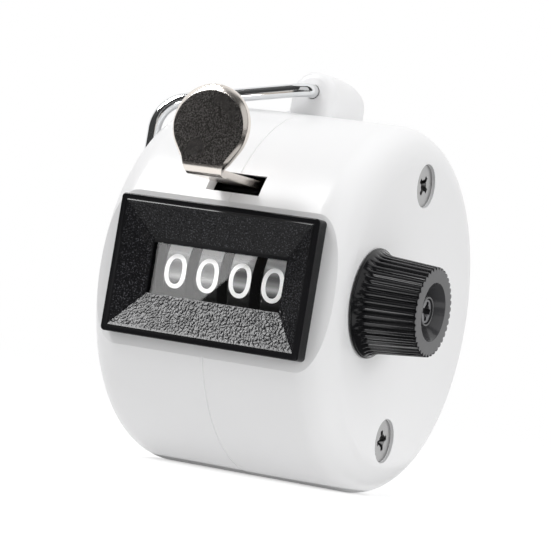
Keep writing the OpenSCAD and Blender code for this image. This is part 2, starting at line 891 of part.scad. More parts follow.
// Helix of the return spring, from the lever's tail up to the chassis bridge
coil_rings = 8;
coil_sides = 6;
coil_steps = coil_rings * spring_turns;
coil_rise = spring_l - spring_wire - 2 * seat_clear;
function coil_point(i) =
    let (turn = i * 360 / coil_rings)
        [spring_mid_r * cos(turn), spring_mid_r * sin(turn) - spring_y,
         arm_top + seat_clear + spring_wire / 2 + coil_rise * i / coil_steps];
function coil_ring(i) =
    let (turn = i * 360 / coil_rings, middle = coil_point(i), out = [cos(turn), sin(turn), 0])
        [for (k = [0 : coil_sides - 1])
            let (a = k * 360 / coil_sides + 90)
                middle + spring_wire / 2 * (cos(a) * out + sin(a) * [0, 0, 1])];
coil_gap = min([
    for (i = [0 : coil_steps], j = [i + coil_rings / 2 : 1 : coil_steps])
        norm(coil_point(i) - coil_point(j))
]) - spring_wire;
echo(least_gap_of_spring = coil_gap);

module lever_spring() {
    points = [for (i = [0 : coil_steps]) each coil_ring(i)];
    last = coil_steps * coil_sides;
    sides = [
        for (i = [0 : coil_steps - 1], k = [0 : coil_sides - 1])
            let (a = i * coil_sides + k, b = i * coil_sides + (k + 1) % coil_sides)
                each [[a, b, b + coil_sides], [a, b + coil_sides, a + coil_sides]]
    ];
    caps = [
        for (k = [1 : coil_sides - 2])
            each [[0, k + 1, k], [last, last + k, last + k + 1]]
    ];
    color("silver")
        polyhedron(points, concat(sides, caps));
}

// A finger of sheet between two points in Y and Z
module finger(from, to) {
    along = (to - from) / norm(to - from);
    across = [-along.y, along.x] * comb_t / 2;
    polygon([from - across, to - across, to + across, from + across]);
}

// Places its children at the ratchet of every wheel
module at_ratchets() {
    for (place = [0 : wheels - 1])
        along_x(wheel_x(place) + (ratchet_w - finger_w) / 2, finger_w)
            children();
}

// Four spring fingers on the lever's tail that reach down to the rear of the ratchets
module drive_pawl_comb() {
    base_z = arm_bottom - comb_t / 2;
    tip = [-shaft_y + reach_r + comb_t, shaft_z];
    knee = [-tail_y - comb_t / 2, shaft_z + ratchet_r];
    color([0.55, 0.6, 0.7])
        difference() {
            union() {
                translate([-comb_half, -tail_y - comb_base, arm_bottom - comb_t])
                    cube([2 * comb_half, comb_base, comb_t]);
                at_ratchets() {
                    finger([knee.x, base_z + comb_t / 2], knee);
                    finger(knee, tip);
                    translate(knee)
                        circle(comb_t / 2);
                }
            }
            for (side = [-1, 1])
                translate([side * rivet_x, -comb_y, base_z - past])
                    cylinder(r = rivet_r + seat_clear / 2, h = 2 * past);
        }
}

// Rivet along +Z through a stack of sheet, from its lower to its upper face
module rivet(stack) {
    translate([0, 0, -head_out])
        cylinder(r = rivet_head_r, h = head_out);
    cylinder(r = rivet_r, h = stack);
    translate([0, 0, stack])
        cylinder(r = rivet_head_r, h = head_out);
}

module pawl_rivets() {
    color("goldenrod")
        for (side = [-1, 1])
            translate([side * rivet_x, -comb_y, arm_bottom - comb_t])
                rivet(comb_t + lever_t);
}

// Four spring fingers on the chassis that hold the wheels from below
module detent_comb() {
    base_y = -bar_y - comb_t;
    root = [base_y + comb_t / 2, bar_top - comb_t / 2];
    lean = 35;
    tip = [-shaft_y + (reach_r + comb_t) * cos(lean), shaft_z - (reach_r + comb_t) * sin(lean)];
    color([0.55, 0.6, 0.7])
        difference() {
            union() {
                translate([-comb_half, base_y, bar_top - bar_h])
                    cube([2 * comb_half, comb_t, bar_h]);
                at_ratchets()
                    finger(root, tip);
            }
            for (side = [-1, 1])
                translate([side * rivet_x, base_y - past, detent_z])
                    rotate([-90, 0, 0])
                        cylinder(r = rivet_r + seat_clear / 2, h = 2 * past);
        }
}

module detent_rivets() {
    color("goldenrod")
        for (side = [-1, 1])
            translate([side * rivet_x, -bar_y - comb_t, detent_z])
                rotate([-90, 0, 0])
                    rivet(comb_t + plate_t);
}

// Straight wire between two points, a hair thinner than the bends and lapped a little way into them
module wire(from, to) {
    run = to - from;
    translate(from - unit(run) * wire_lap)
        rotate([0, acos(run.z / norm(run)), atan2(run.y, run.x)])
            cylinder(r = wire_r - wire_step, h = norm(run) + 2 * wire_lap, $fn = 32);
}

function unit(v) = v / norm(v);
function half_open(corner, from, to) = acos(unit(from - corner) * unit(to - corner)) / 2;
function bend_start(corner, from, to, r) =
    corner + unit(from - corner) * r / tan(half_open(corner, from, to));

// Round bend of the wire at a corner of its path
module bend(corner, from, to, r) {
    open = half_open(corner, from, to);
    middle = corner + unit(unit(from - corner) + unit(to - corner)) * r / sin(open);
    start = unit(bend_start(corner, from, to, r) - middle);
    end = unit(bend_start(corner, to, from, r) - middle);
    axis = unit(cross(start, end));
    side = cross(axis, start);
    multmatrix([[start.x, side.x, axis.x, middle.x],
                [start.y, side.y, axis.y, middle.y],
                [start.z, side.z, axis.z, middle.z],
                [0, 0, 0, 1]])
        rotate_extrude(angle = 180 - 2 * open, $fn = 64)
            translate([r, 0])
                circle(wire_r, $fn = 32);
}

// Corners of the ring's front half: out of the lug, along the top to the left and down the leg
ring_tip = [0, ring_tang - lug_front, eye_z];
ring_eye = [0, eye_y, eye_z];
ring_shoulder = [leg_x, leg_y, shoulder_z];
ring_foot = [leg_x, leg_y, bar_z];
ring_bar = [leg_x, ring_mid, bar_z];
bar_start = bend_start(ring_foot, ring_bar, ring_shoulder, bend_bar);

module half_ring() {
    wire(ring_tip, bend_start(ring_eye, ring_tip, ring_shoulder, bend_eye));
    bend(ring_eye, ring_tip, ring_shoulder, bend_eye);
    wire(bend_start(ring_eye, ring_shoulder, ring_tip, bend_eye),
         bend_start(ring_shoulder, ring_eye, ring_foot, bend_shoulder));
    bend(ring_shoulder, ring_eye, ring_foot, bend_shoulder);
    wire(bend_start(ring_shoulder, ring_foot, ring_eye, bend_shoulder),
         bend_start(ring_foot, ring_shoulder, ring_bar, bend_bar));
    bend(ring_foot, ring_shoulder, ring_bar, bend_bar);
}

module finger_ring() {
    color("gainsboro") {
        half_ring();
        translate([0, 2 * ring_mid, 0])
            mirror([0, 1, 0])
                half_ring();
        wire(bar_start, 2 * ring_bar - bar_start);
    }
}

left_case();
right_case();
bezel();
window_lens();
case_screws();
chassis();
main_shaft();
reset_knob();
shaft_clip();
wheel_spacers();
number_wheel_thousands();
number_wheel_hundreds();
number_wheel_tens();
number_wheel_units();
reset_dog_thousands();
reset_dog_hundreds();
reset_dog_tens();
reset_dog_units();
thumb_lever();
lever_pin();
lever_spring();
drive_pawl_comb();
pawl_rivets();
detent_comb();
detent_rivets();
finger_ring();
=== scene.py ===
import math

import bpy
import numpy as np
from mathutils import Matrix, Vector


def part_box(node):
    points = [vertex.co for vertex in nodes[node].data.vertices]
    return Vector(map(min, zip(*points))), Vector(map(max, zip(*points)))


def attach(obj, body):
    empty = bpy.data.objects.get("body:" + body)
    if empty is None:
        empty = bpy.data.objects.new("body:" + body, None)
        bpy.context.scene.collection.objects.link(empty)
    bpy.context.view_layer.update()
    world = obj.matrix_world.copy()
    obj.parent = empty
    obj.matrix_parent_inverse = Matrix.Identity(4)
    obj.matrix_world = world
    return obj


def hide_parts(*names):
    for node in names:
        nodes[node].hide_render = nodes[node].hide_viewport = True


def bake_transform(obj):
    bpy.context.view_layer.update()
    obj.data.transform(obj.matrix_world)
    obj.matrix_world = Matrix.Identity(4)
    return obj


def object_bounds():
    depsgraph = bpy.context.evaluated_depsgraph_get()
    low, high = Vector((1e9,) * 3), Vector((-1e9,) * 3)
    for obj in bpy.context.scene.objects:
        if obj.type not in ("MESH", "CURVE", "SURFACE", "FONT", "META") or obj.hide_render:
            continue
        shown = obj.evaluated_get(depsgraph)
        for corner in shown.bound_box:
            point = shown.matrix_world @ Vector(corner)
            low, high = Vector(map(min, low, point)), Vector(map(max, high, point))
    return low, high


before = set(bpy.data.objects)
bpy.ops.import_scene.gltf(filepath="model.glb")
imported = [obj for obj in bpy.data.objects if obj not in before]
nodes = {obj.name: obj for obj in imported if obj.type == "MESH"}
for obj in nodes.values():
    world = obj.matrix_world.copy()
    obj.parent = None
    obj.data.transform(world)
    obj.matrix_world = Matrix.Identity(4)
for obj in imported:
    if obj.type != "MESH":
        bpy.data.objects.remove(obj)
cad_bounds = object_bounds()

# sizes and places are in millimetres, and angles in degrees, unless a comment says otherwise
MM = 0.001
TURN = 2.0 * math.pi
PLACES = ("thousands", "hundreds", "tens", "units")
WHEELS = ["number_wheel_" + place for place in PLACES]


def box_mm(node):
    """Lower and upper corner of a modelled piece, in millimetres."""
    low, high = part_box(node)
    return np.array(low) / MM, np.array(high) / MM


def quads(rows, cols, join_rows, join_cols):
    """Corner numbers of the quads of a grid; a joined direction runs on from its last line to the first."""
    i = np.arange(rows if join_rows else rows - 1)[:, None]
    j = np.arange(cols if join_cols else cols - 1)[None, :]
    here, there = i * cols, (i + 1) % rows * cols
    corners = np.broadcast_arrays(here + j, here + (j + 1) % cols, there + (j + 1) % cols, there + j)
    return np.stack(corners, -1).reshape(-1, 4)


def add_object(name, data):
    """New object at the origin of the scene."""
    made = bpy.data.objects.new(name, data)
    bpy.context.scene.collection.objects.link(made)
    return made


def make_piece(name, points, faces, material, body=None, smooth=True):
    """Mesh piece from points and lists of corner numbers, riding on a moving body if one is named."""
    mesh = bpy.data.meshes.new(name)
    mesh.from_pydata((points * MM).tolist(), [], faces)
    if smooth:
        mesh.shade_smooth()
    else:
        mesh.shade_flat()
    mesh.materials.append(material)
    piece = add_object(name, mesh)
    if body:
        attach(piece, body)
    return piece


# Nodes of the finishes

# sockets of a Mix node that mixes colours: first colour, second colour and result
MIX_FIRST, MIX_SECOND, MIX_RESULT = 6, 7, 2


def feed(tree, socket, value):
    """Link an output to a socket, or set a plain value on it; a colour is set with full alpha."""
    if hasattr(value, "is_output"):
        tree.links.new(value, socket)
    elif isinstance(value, tuple):
        socket.default_value = (*value, 1.0)
    else:
        socket.default_value = value


def add_node(tree, kind, settings=None, inputs=None):
    """New node with its settings and its unlinked input values."""
    made = tree.nodes.new(kind)
    for key, value in (settings or {}).items():
        setattr(made, key, value)
    for key, value in (inputs or {}).items():
        made.inputs[key].default_value = value
    return made


def math_node(tree, operation, first, second=None, clamp=False):
    """Math node on one or two values; a number is set and an output is linked."""
    made = add_node(tree, "ShaderNodeMath", {"operation": operation, "use_clamp": clamp})
    for socket, value in zip(made.inputs, (first, second)):
        if value is not None:
            feed(tree, socket, value)
    return made.outputs[0]


def ramp_node(tree, value, low, high):
    """0 at low and before, 1 at high and after, with a soft S-curve between."""
    made = add_node(tree, "ShaderNodeMapRange", {"interpolation_type": "SMOOTHSTEP"},
                    {"From Min": low, "From Max": high})
    tree.links.new(value, made.inputs["Value"])
    return made.outputs["Result"]


def grey_scale(tree, value, stops):
    """Grey that follows the value from stop to stop; each stop is a place and a lightness."""
    made = add_node(tree, "ShaderNodeValToRGB")
    made.color_ramp.interpolation = "EASE"
    elements = made.color_ramp.elements
    while len(elements) < len(stops):
        elements.new(0.5)
    for element, (place, light) in zip(elements, stops):
        element.position = place
        element.color = (light, light, light, 1.0)
    tree.links.new(value, made.inputs[0])
    return made.outputs[0]


def mix_colour(tree, factor, first, second, blend="MIX"):
    """Colour between two colours, or the second blended over the first."""
    made = add_node(tree, "ShaderNodeMix", {"data_type": "RGBA", "blend_type": blend})
    for socket, value in (("Factor", factor), (MIX_FIRST, first), (MIX_SECOND, second)):
        feed(tree, made.inputs[socket], value)
    return made.outputs[MIX_RESULT]


def new_group(name, inputs, output):
    """Node group with float inputs and one named output."""
    tree = bpy.data.node_groups.new(name, "ShaderNodeTree")
    for label, value in inputs:
        socket = tree.interface.new_socket(label, in_out="INPUT", socket_type="NodeSocketFloat")
        socket.default_value = value
    tree.interface.new_socket(output, in_out="OUTPUT", socket_type="NodeSocketFloat")
    return tree, add_node(tree, "NodeGroupInput"), add_node(tree, "NodeGroupOutput")


def make_handling_marks():
    """Roughness that wanders about its middle value: broad finger smudges with a finer haze over them."""
    inputs = (("Middle", 0.3), ("Spread", 0.1), ("Scale", 200.0))
    tree, given, result = new_group("handling_marks", inputs, "Roughness")
    place = add_node(tree, "ShaderNodeTexCoord")
    broad = add_node(tree, "ShaderNodeTexNoise",
                     inputs={"Detail": 3.0, "Roughness": 0.55, "Distortion": 0.6})
    tree.links.new(place.outputs["Object"], broad.inputs["Vector"])
    tree.links.new(given.outputs["Scale"], broad.inputs["Scale"])
    off_middle = math_node(tree, "SUBTRACT", broad.outputs[0], 0.5)
    half_spread = math_node(tree, "MULTIPLY", off_middle, given.outputs["Spread"])
    spread = math_node(tree, "MULTIPLY", half_spread, 2.0)
    rough = math_node(tree, "ADD", given.outputs["Middle"], spread, clamp=True)
    tree.links.new(rough, result.inputs["Roughness"])
    return tree


def make_surface_ripple():
    """Height for a bump: soft swells with a fine tooth, as left by a mould or a polishing wheel."""
    inputs = (("Swell", 300.0), ("Tooth", 4000.0), ("Share", 0.2))
    tree, given, result = new_group("surface_ripple", inputs, "Height")
    place = add_node(tree, "ShaderNodeTexCoord")
    swell = add_node(tree, "ShaderNodeTexNoise", inputs={"Detail": 1.0})
    tooth = add_node(tree, "ShaderNodeTexNoise", inputs={"Detail": 2.0})
    for texture, scale in ((swell, "Swell"), (tooth, "Tooth")):
        tree.links.new(place.outputs["Object"], texture.inputs["Vector"])
        tree.links.new(given.outputs[scale], texture.inputs["Scale"])
    part = math_node(tree, "MULTIPLY", tooth.outputs[0], given.outputs["Share"])
    tree.links.new(math_node(tree, "ADD", swell.outputs[0], part), result.inputs["Height"])
    return tree


handling_marks = make_handling_marks()
surface_ripple = make_surface_ripple()


class Finish:
    """One material: a Principled surface with wandering roughness, a slight tint change and a fine bump.

    Noise scales are counts to the metre; the bump's depth and the softened edges are in millimetres.
    """

    drift_scale = 90.0
    edge_samples = 6

    def __init__(self, name, colour, rough, spread=0.06, metal=0.0, marks=220.0, tint=0.06,
                 swell=300.0, tooth=4000.0, share=0.2, bump=0.1, depth=0.02, specular=0.5, soften=0.0):
        self.material = bpy.data.materials.new(name)
        self.material.use_nodes = True
        self.tree = self.material.node_tree
        self.surface = self.tree.nodes["Principled BSDF"]
        self.surface.inputs["Metallic"].default_value = metal
        self.surface.inputs["Specular IOR Level"].default_value = specular
        self.place = add_node(self.tree, "ShaderNodeTexCoord").outputs["Object"]
        self.colour = self.tinted(colour, tint)
        self.rough = self.group(handling_marks, {"Middle": rough, "Spread": spread, "Scale": marks})
        self.height = self.group(surface_ripple, {"Swell": swell, "Tooth": tooth, "Share": share})
        self.bump = add_node(self.tree, "ShaderNodeBump", inputs={"Strength": bump, "Distance": depth * MM})
        if soften:
            edges = add_node(self.tree, "ShaderNodeBevel", {"samples": self.edge_samples},
                             {"Radius": soften * MM})
            self.tree.links.new(edges.outputs[0], self.bump.inputs["Normal"])
        self.set("Base Color", self.colour)
        self.set("Roughness", self.rough)
        self.raise_by(self.height)
        self.set("Normal", self.bump.outputs[0])

    def set(self, socket, value):
        """Link a varying value to the surface."""
        self.tree.links.new(value, self.surface.inputs[socket])

    def raise_by(self, height):
        """Use a height for the bump."""
        self.tree.links.new(height, self.bump.inputs["Height"])

    def group(self, tree, inputs):
        """Output of a shared effect."""
        return add_node(self.tree, "ShaderNodeGroup", {"node_tree": tree}, inputs).outputs[0]

    def noise(self, scale, detail=2.0, rough=0.5):
        """Noise from 0 to 1 over the piece."""
        made = add_node(self.tree, "ShaderNodeTexNoise",
                        inputs={"Scale": scale, "Detail": detail, "Roughness": rough})
        self.tree.links.new(self.place, made.inputs["Vector"])
        return made.outputs[0]

    def tinted(self, colour, amount):
        """The colour with a slow drift of lightness."""
        drift = self.noise(self.drift_scale)
        dark = tuple(c * (1.0 - amount) for c in colour)
        light = tuple(min(1.0, c * (1.0 + amount)) for c in colour)
        return mix_colour(self.tree, drift, dark, light)

    def axes(self, centre=(0.0, 0.0, 0.0)):
        """X, Y and Z over the piece in metres, counted from a centre in millimetres."""
        moved = add_node(self.tree, "ShaderNodeMapping", {"vector_type": "POINT"},
                         {"Location": tuple(-c * MM for c in centre)})
        parts = add_node(self.tree, "ShaderNodeSeparateXYZ")
        self.tree.links.new(self.place, moved.inputs["Vector"])
        self.tree.links.new(moved.outputs[0], parts.inputs[0])
        return parts.outputs

    def radius(self, first, second):
        """Distance from an axis: root of the sum of two squares."""
        squares = [math_node(self.tree, "POWER", part, 2.0) for part in (first, second)]
        return math_node(self.tree, "SQRT", math_node(self.tree, "ADD", *squares))

    def both(self, *masks):
        """Product of masks: 1 only where every one of them is 1."""
        whole = masks[0]
        for mask in masks[1:]:
            whole = math_node(self.tree, "MULTIPLY", whole, mask)
        return whole

    def on(self, *names):
        """Put this finish on modelled pieces."""
        for name in names:
            data = nodes[name].data
            data.materials.clear()
            data.materials.append(self.material)


# Finishes

case_white = Finish("case_white", (0.83, 0.83, 0.835), 0.32, spread=0.05, tint=0.012, marks=160.0,
                    swell=150.0, depth=0.03, specular=0.22)
bezel_black = Finish("bezel_black", (0.006, 0.006, 0.007), 0.22, spread=0.05, tint=0.3,
                     tooth=9000.0, share=0.6, bump=0.2, specular=0.17)
knob_black = Finish("knob_black", (0.006, 0.006, 0.007), 0.15, spread=0.05, tint=0.3, bump=0.12)
wheel_black = Finish("wheel_black", (0.006, 0.006, 0.006), 0.3, tint=0.3, specular=0.15)
digit_white = Finish("digit_white", (0.93, 0.93, 0.92), 0.45, spread=0.08, tint=0.02,
                     bump=0.2, specular=0.3)
nickel = {"colour": (0.76, 0.71, 0.66), "rough": 0.22, "metal": 1.0,
          "swell": 500.0, "tooth": 7000.0, "share": 0.4, "bump": 0.2}
lever_nickel = Finish("lever_nickel", soften=0.5, **nickel)
pad_nickel = Finish("pad_nickel", **nickel)
ring_chrome = Finish("ring_chrome", (0.80, 0.81, 0.82), 0.10, spread=0.03, metal=1.0, tint=0.03,
                     swell=250.0, bump=0.08)
screw_steel = Finish("screw_steel", (0.42, 0.42, 0.42), 0.28, spread=0.08, metal=1.0, tint=0.1,
                     swell=700.0, bump=0.2, soften=0.12)
# painted shade: the chassis is near black so that the slot reads dark
chassis_shade_black = Finish("chassis_shade_black", (0.030, 0.030, 0.032), 0.42, spread=0.1, tint=0.2, bump=0.2)
shaft_steel = Finish("shaft_steel", (0.20, 0.20, 0.21), 0.3, spread=0.08, metal=1.0, tint=0.1,
                     bump=0.2, soften=0.1)
spring_steel = Finish("spring_steel", (0.34, 0.35, 0.38), 0.28, spread=0.08, metal=1.0, tint=0.12,
                      bump=0.15)
brass = Finish("brass", (0.62, 0.43, 0.17), 0.3, spread=0.1, metal=1.0, tint=0.1, bump=0.2)

# how far the plating of the thumb pad stands out of the modelled lever
PAD_PROUD = 0.22


def finish_plain_pieces():
    """Pieces that have one finish all over."""
    ring_chrome.on("finger_ring")
    screw_steel.on("case_screws")
    chassis_shade_black.on("chassis")
    shaft_steel.on("main_shaft", "lever_pin")
    spring_steel.on("shaft_clip", "drive_pawl_comb", "detent_comb")
    brass.on("wheel_spacers", "pawl_rivets", "detent_rivets", *("reset_dog_" + place for place in PLACES))


def finish_case():
    """White shells whose interior, nearer the axis than the wall and between the end walls, is painted
    black as shade.
    """
    tree = case_white.tree
    low, _ = box_mm("left_case")
    wall, over_wall, over_end, behind_front = 1.8, 0.1, 0.05, 0.1
    # painted shade: near black over the shells' interior, so that the slot reads dark
    painted_shade_black = (0.012, 0.012, 0.013)
    inner_r = -low[2] - wall + over_wall
    inner_half = -low[0] - wall + over_end
    inner_front = low[1] + behind_front
    x, y, z = case_white.axes()
    shaded_interior = case_white.both(math_node(tree, "LESS_THAN", case_white.radius(y, z), inner_r * MM),
                             math_node(tree, "LESS_THAN", math_node(tree, "ABSOLUTE", x), inner_half * MM),
                             math_node(tree, "GREATER_THAN", y, inner_front * MM))
    case_white.set("Base Color", mix_colour(tree, shaded_interior, case_white.colour, painted_shade_black))
    case_white.on("left_case", "right_case")


def finish_lens():
    """Clear lens that lets the lamps through to the wheels: glass for the eye, open to shadow rays."""
    lens = Finish("lens_clear", (1.0, 1.0, 1.0), 0.01, spread=0.008, tint=0.0, bump=0.0)
    tree = lens.tree
    lens.surface.inputs["Transmission Weight"].default_value = 1.0
    lens.surface.inputs["IOR"].default_value = 1.49
    clear = add_node(tree, "ShaderNodeBsdfTransparent")
    path = add_node(tree, "ShaderNodeLightPath")
    either = add_node(tree, "ShaderNodeMixShader")
    sources = (path.outputs["Is Shadow Ray"], lens.surface.outputs[0], clear.outputs[0])
    for socket, source in zip(either.inputs, sources):
        tree.links.new(source, socket)
    tree.links.new(either.outputs[0], tree.nodes["Material Output"].inputs["Surface"])
    lens.on("window_lens")


def finish_wheels():
    """Black wheels: painted grey highlights on the rim behind every number, and a pale one after nought.

    The angle round the rim is counted in numbers: its fraction places the highlight behind every number,
    and the count the pale one.
    """
    tree = wheel_black.tree
    low, high = box_mm(WHEELS[0])
    skin = 0.05
    rim_r = (high[2] - low[2]) / 2.0 - skin
    _, y, z = wheel_black.axes(tuple((low + high) / 2.0))
    ahead = math_node(tree, "MULTIPLY", y, -1.0)
    count = math_node(tree, "MULTIPLY", math_node(tree, "ARCTAN2", z, ahead), len(NUMBERS) / TURN)
    share = math_node(tree, "FRACT", math_node(tree, "ADD", count, len(NUMBERS) + 0.5))
    # painted highlights: grey behind every number, and a pale one after nought that lies at the top of the
    # window
    painted_number_highlight = grey_scale(tree, share, ((0.0, 0.006), (0.2, 0.01), (0.29, 0.10), (0.40, 0.36), (0.50, 0.18),
                                     (0.62, 0.08), (0.78, 0.05), (1.0, 0.006)))
    painted_top_highlight = grey_scale(tree, count, ((0.0, 0.0), (0.16, 0.0), (0.32, 0.20), (0.46, 0.75), (0.56, 1.0),
                                    (0.66, 0.0)))
    painted_highlights = mix_colour(tree, 1.0, painted_number_highlight, painted_top_highlight, "ADD")
    rim = math_node(tree, "GREATER_THAN", wheel_black.radius(y, z), rim_r * MM)
    wheel_black.set("Base Color", mix_colour(tree, rim, wheel_black.colour, painted_highlights))
    wheel_black.on(*WHEELS)


def finish_lever():
    """Warm nickel lever, painted near black as shade behind the slot, and a pad whose flat face has a
    blasted grain painted dark as a reflection.
    """
    low, _ = box_mm("thumb_lever")
    shade_from, shade_to, face_deep = 9.9, 11.0, 0.03
    grain_scale, grain_rise, face_rough, speck_from, speck_full = 7300.0, 2.0, 0.06, 0.42, 0.72
    painted_slot_shade, reflection_pit_grey, reflection_speck_grey = (0.02, 0.02, 0.02), (0.045, 0.042, 0.040), (0.26, 0.245, 0.235)
    tree = lever_nickel.tree
    behind = lever_nickel.axes((0.0, low[1], 0.0))["Y"]
    # painted shade: near black over the part of the lever that lies behind the slot
    shaded_tail = ramp_node(tree, behind, shade_from * MM, shade_to * MM)
    lever_nickel.set("Base Color", mix_colour(tree, shaded_tail, lever_nickel.colour, painted_slot_shade))
    lever_nickel.on("thumb_lever")
    tree = pad_nickel.tree
    behind = pad_nickel.axes((0.0, low[1] - PAD_PROUD, 0.0))["Y"]
    face = math_node(tree, "LESS_THAN", behind, face_deep * MM)
    grain = pad_nickel.noise(grain_scale, rough=0.7)
    specks = ramp_node(tree, grain, speck_from, speck_full)
    # blasted grain of the pad face, its greys painted dark as a reflection of dark surroundings
    grain_and_painted_reflection = mix_colour(tree, specks, reflection_pit_grey, reflection_speck_grey)
    pad_nickel.set("Base Color", mix_colour(tree, face, pad_nickel.colour, grain_and_painted_reflection))
    raised = math_node(tree, "MULTIPLY", pad_nickel.both(face, grain), grain_rise)
    pad_nickel.raise_by(math_node(tree, "ADD", pad_nickel.height, raised))
    rougher = math_node(tree, "MULTIPLY", face, face_rough)
    pad_nickel.set("Roughness", math_node(tree, "ADD", pad_nickel.rough, rougher))


def finish_knob():
    """Glossy black knob with a satin end face painted lighter grey as a sheen, and a recess round the boss
    painted greyer as a sheen.
    """
    tree = knob_black.tree
    low, high = box_mm("reset_knob")
    middle = (low + high) / 2.0
    end_deep, recess_deep, recess_r, end_rough = 0.02, 2.2, 3.5, 0.25
    # painted sheen: a lighter grey on the end face and a greyer one in the recess
    recess_sheen_grey, end_sheen_grey = (0.055, 0.055, 0.058), (0.085, 0.085, 0.088)
    x, y, z = knob_black.axes((high[0], middle[1], middle[2]))
    end = math_node(tree, "GREATER_THAN", x, -end_deep * MM)
    recess = knob_black.both(math_node(tree, "GREATER_THAN", x, -recess_deep * MM),
                             math_node(tree, "LESS_THAN", knob_black.radius(y, z), recess_r * MM))
    shade = mix_colour(tree, recess, knob_black.colour, recess_sheen_grey)
    knob_black.set("Base Color", mix_colour(tree, end, shade, end_sheen_grey))
    satin = math_node(tree, "MULTIPLY", end, end_rough)
    knob_black.set("Roughness", math_node(tree, "ADD", knob_black.rough, satin))


def finish_bezel():
    """Smooth rim, and slopes whose leather grain has a fine tooth, with its peaks painted grey as glints.
    """
    tree = bezel_black.tree
    tooth_scale, tooth_rise, tip_from, tip_full = 5600.0, 5.0, 0.53, 0.72
    # painted glints: grey on the peaks of the grain's tooth
    painted_glint_grey = (0.068, 0.068, 0.076)
    grained = add_node(tree, "ShaderNodeAttribute", {"attribute_name": "grained"}).outputs["Fac"]
    tooth = bezel_black.noise(tooth_scale, detail=1.5, rough=0.6)
    glint_peaks = bezel_black.both(grained, ramp_node(tree, tooth, tip_from, tip_full))
    bezel_black.set("Base Color", mix_colour(tree, glint_peaks, bezel_black.colour, painted_glint_grey))
    raised = math_node(tree, "MULTIPLY", bezel_black.both(grained, tooth), tooth_rise)
    bezel_black.raise_by(math_node(tree, "ADD", bezel_black.height, raised))


# Numbers on the wheels

RIM_WIDTH = 2.9
DIGIT_HIGH, DIGIT_WIDE, STROKE = 4.13, 2.86, 0.54
PAINT = 0.03


def loop(cx, cz, a, b, start=0.0, turn=360.0, power=2.0, count=48):
    """Points along an oval: a power of 2 is an ellipse, more is squarer; a full turn has no last point."""
    t = np.radians(start + turn * np.linspace(0.0, 1.0, count, endpoint=abs(turn) < 360.0))
    c, s = np.cos(t), np.sin(t)
    return np.stack([cx + a * np.sign(c) * np.abs(c) ** (2.0 / power),
                     cz + b * np.sign(s) * np.abs(s) ** (2.0 / power)], -1)


def line(x0, z0, x1, z1, count=9):
    """Points along a straight stroke."""
    return np.linspace((x0, z0), (x1, z1), count)


# strokes of each number on a square from -1 to 1; True marks a stroke that closes on itself
NUMBERS = [
    [(loop(0, 0, 1, 1, power=2.25, count=72), True)],
    [(line(0.1, -1, 0.1, 1), False), (line(0.1, 0.97, -0.55, 0.55), False)],
    [(loop(0, 0.42, 1, 0.58, 165, -200), False), (line(0.85, 0.08, -0.97, -0.97), False),
     (line(-1, -1, 1, -1), False)],
    [(loop(-0.05, 0.5, 0.95, 0.5, 150, -240), False), (loop(-0.05, -0.47, 1.05, 0.53, 90, -240), False)],
    [(line(0.45, -1, 0.45, 1), False), (line(0.45, 0.97, -0.97, -0.38), False),
     (line(-1, -0.4, 1, -0.4), False)],
    [(line(-0.8, 1, 0.9, 1), False), (line(-0.75, 1, -0.85, 0.02), False),
     (loop(-0.05, -0.33, 1.05, 0.67, 140, -295), False)],
    [(loop(0, -0.38, 1, 0.62), True), (loop(0.4, -0.38, 1.4, 1.38, 180, -112), False)],
    [(line(-1, 1, 1, 1), False), (line(0.97, 0.97, -0.4, -1), False)],
    [(loop(0, 0.5, 0.85, 0.5), True), (loop(0, -0.47, 1, 0.53), True)],
    [(loop(0, 0.38, 1, 0.62), True), (loop(-0.4, 0.38, 1.4, 1.38, 0, -112), False)],
]


def ribbon(path, closed):
    """Flat stroke: the path set off by half the stroke's width to each side, four corners to each step."""
    path = path * np.array([DIGIT_WIDE - STROKE, DIGIT_HIGH - STROKE]) / 2.0
    if closed:
        along = np.roll(path, -1, 0) - np.roll(path, 1, 0)
    else:
        along = np.gradient(path, axis=0)
    along /= np.linalg.norm(along, axis=1, keepdims=True)
    side = np.stack([-along[:, 1], along[:, 0]], -1) * STROKE / 2.0
    left, right = path + side, path - side
    return np.stack([left, left, right, right], 1)


def print_numbers(wheel):
    """White numbers on a rim: across is X, and height over radius adds to each number's share of a turn."""
    low, high = box_mm(wheel)
    middle = high[0] - RIM_WIDTH / 2.0
    centre = (low + high) / 2.0
    radius = (high[2] - low[2]) / 2.0
    reach = radius + np.array([-PAINT, PAINT, PAINT, -PAINT])
    corners = len(reach)
    points, faces, count = [], [], 0
    for number, strokes in enumerate(NUMBERS):
        for path, closed in strokes:
            flat = ribbon(path, closed)
            turn = TURN * number / len(NUMBERS) + flat[..., 1] / radius
            points.append(np.stack([middle + flat[..., 0], centre[1] - reach * np.cos(turn),
                                    centre[2] + reach * np.sin(turn)], -1).reshape(-1, 3))
            rows = len(flat)
            faces += (quads(rows, corners, closed, True) + count).tolist()
            after = count + corners * rows
            if not closed:
                faces += [list(range(count, count + corners))[::-1], list(range(after - corners, after))]
            count = after
    make_piece(wheel.replace("number_wheel", "numbers"), np.concatenate(points), faces,
               digit_white.material, wheel.replace("number_wheel_", "") + "_wheel", smooth=False)


# Window bezel

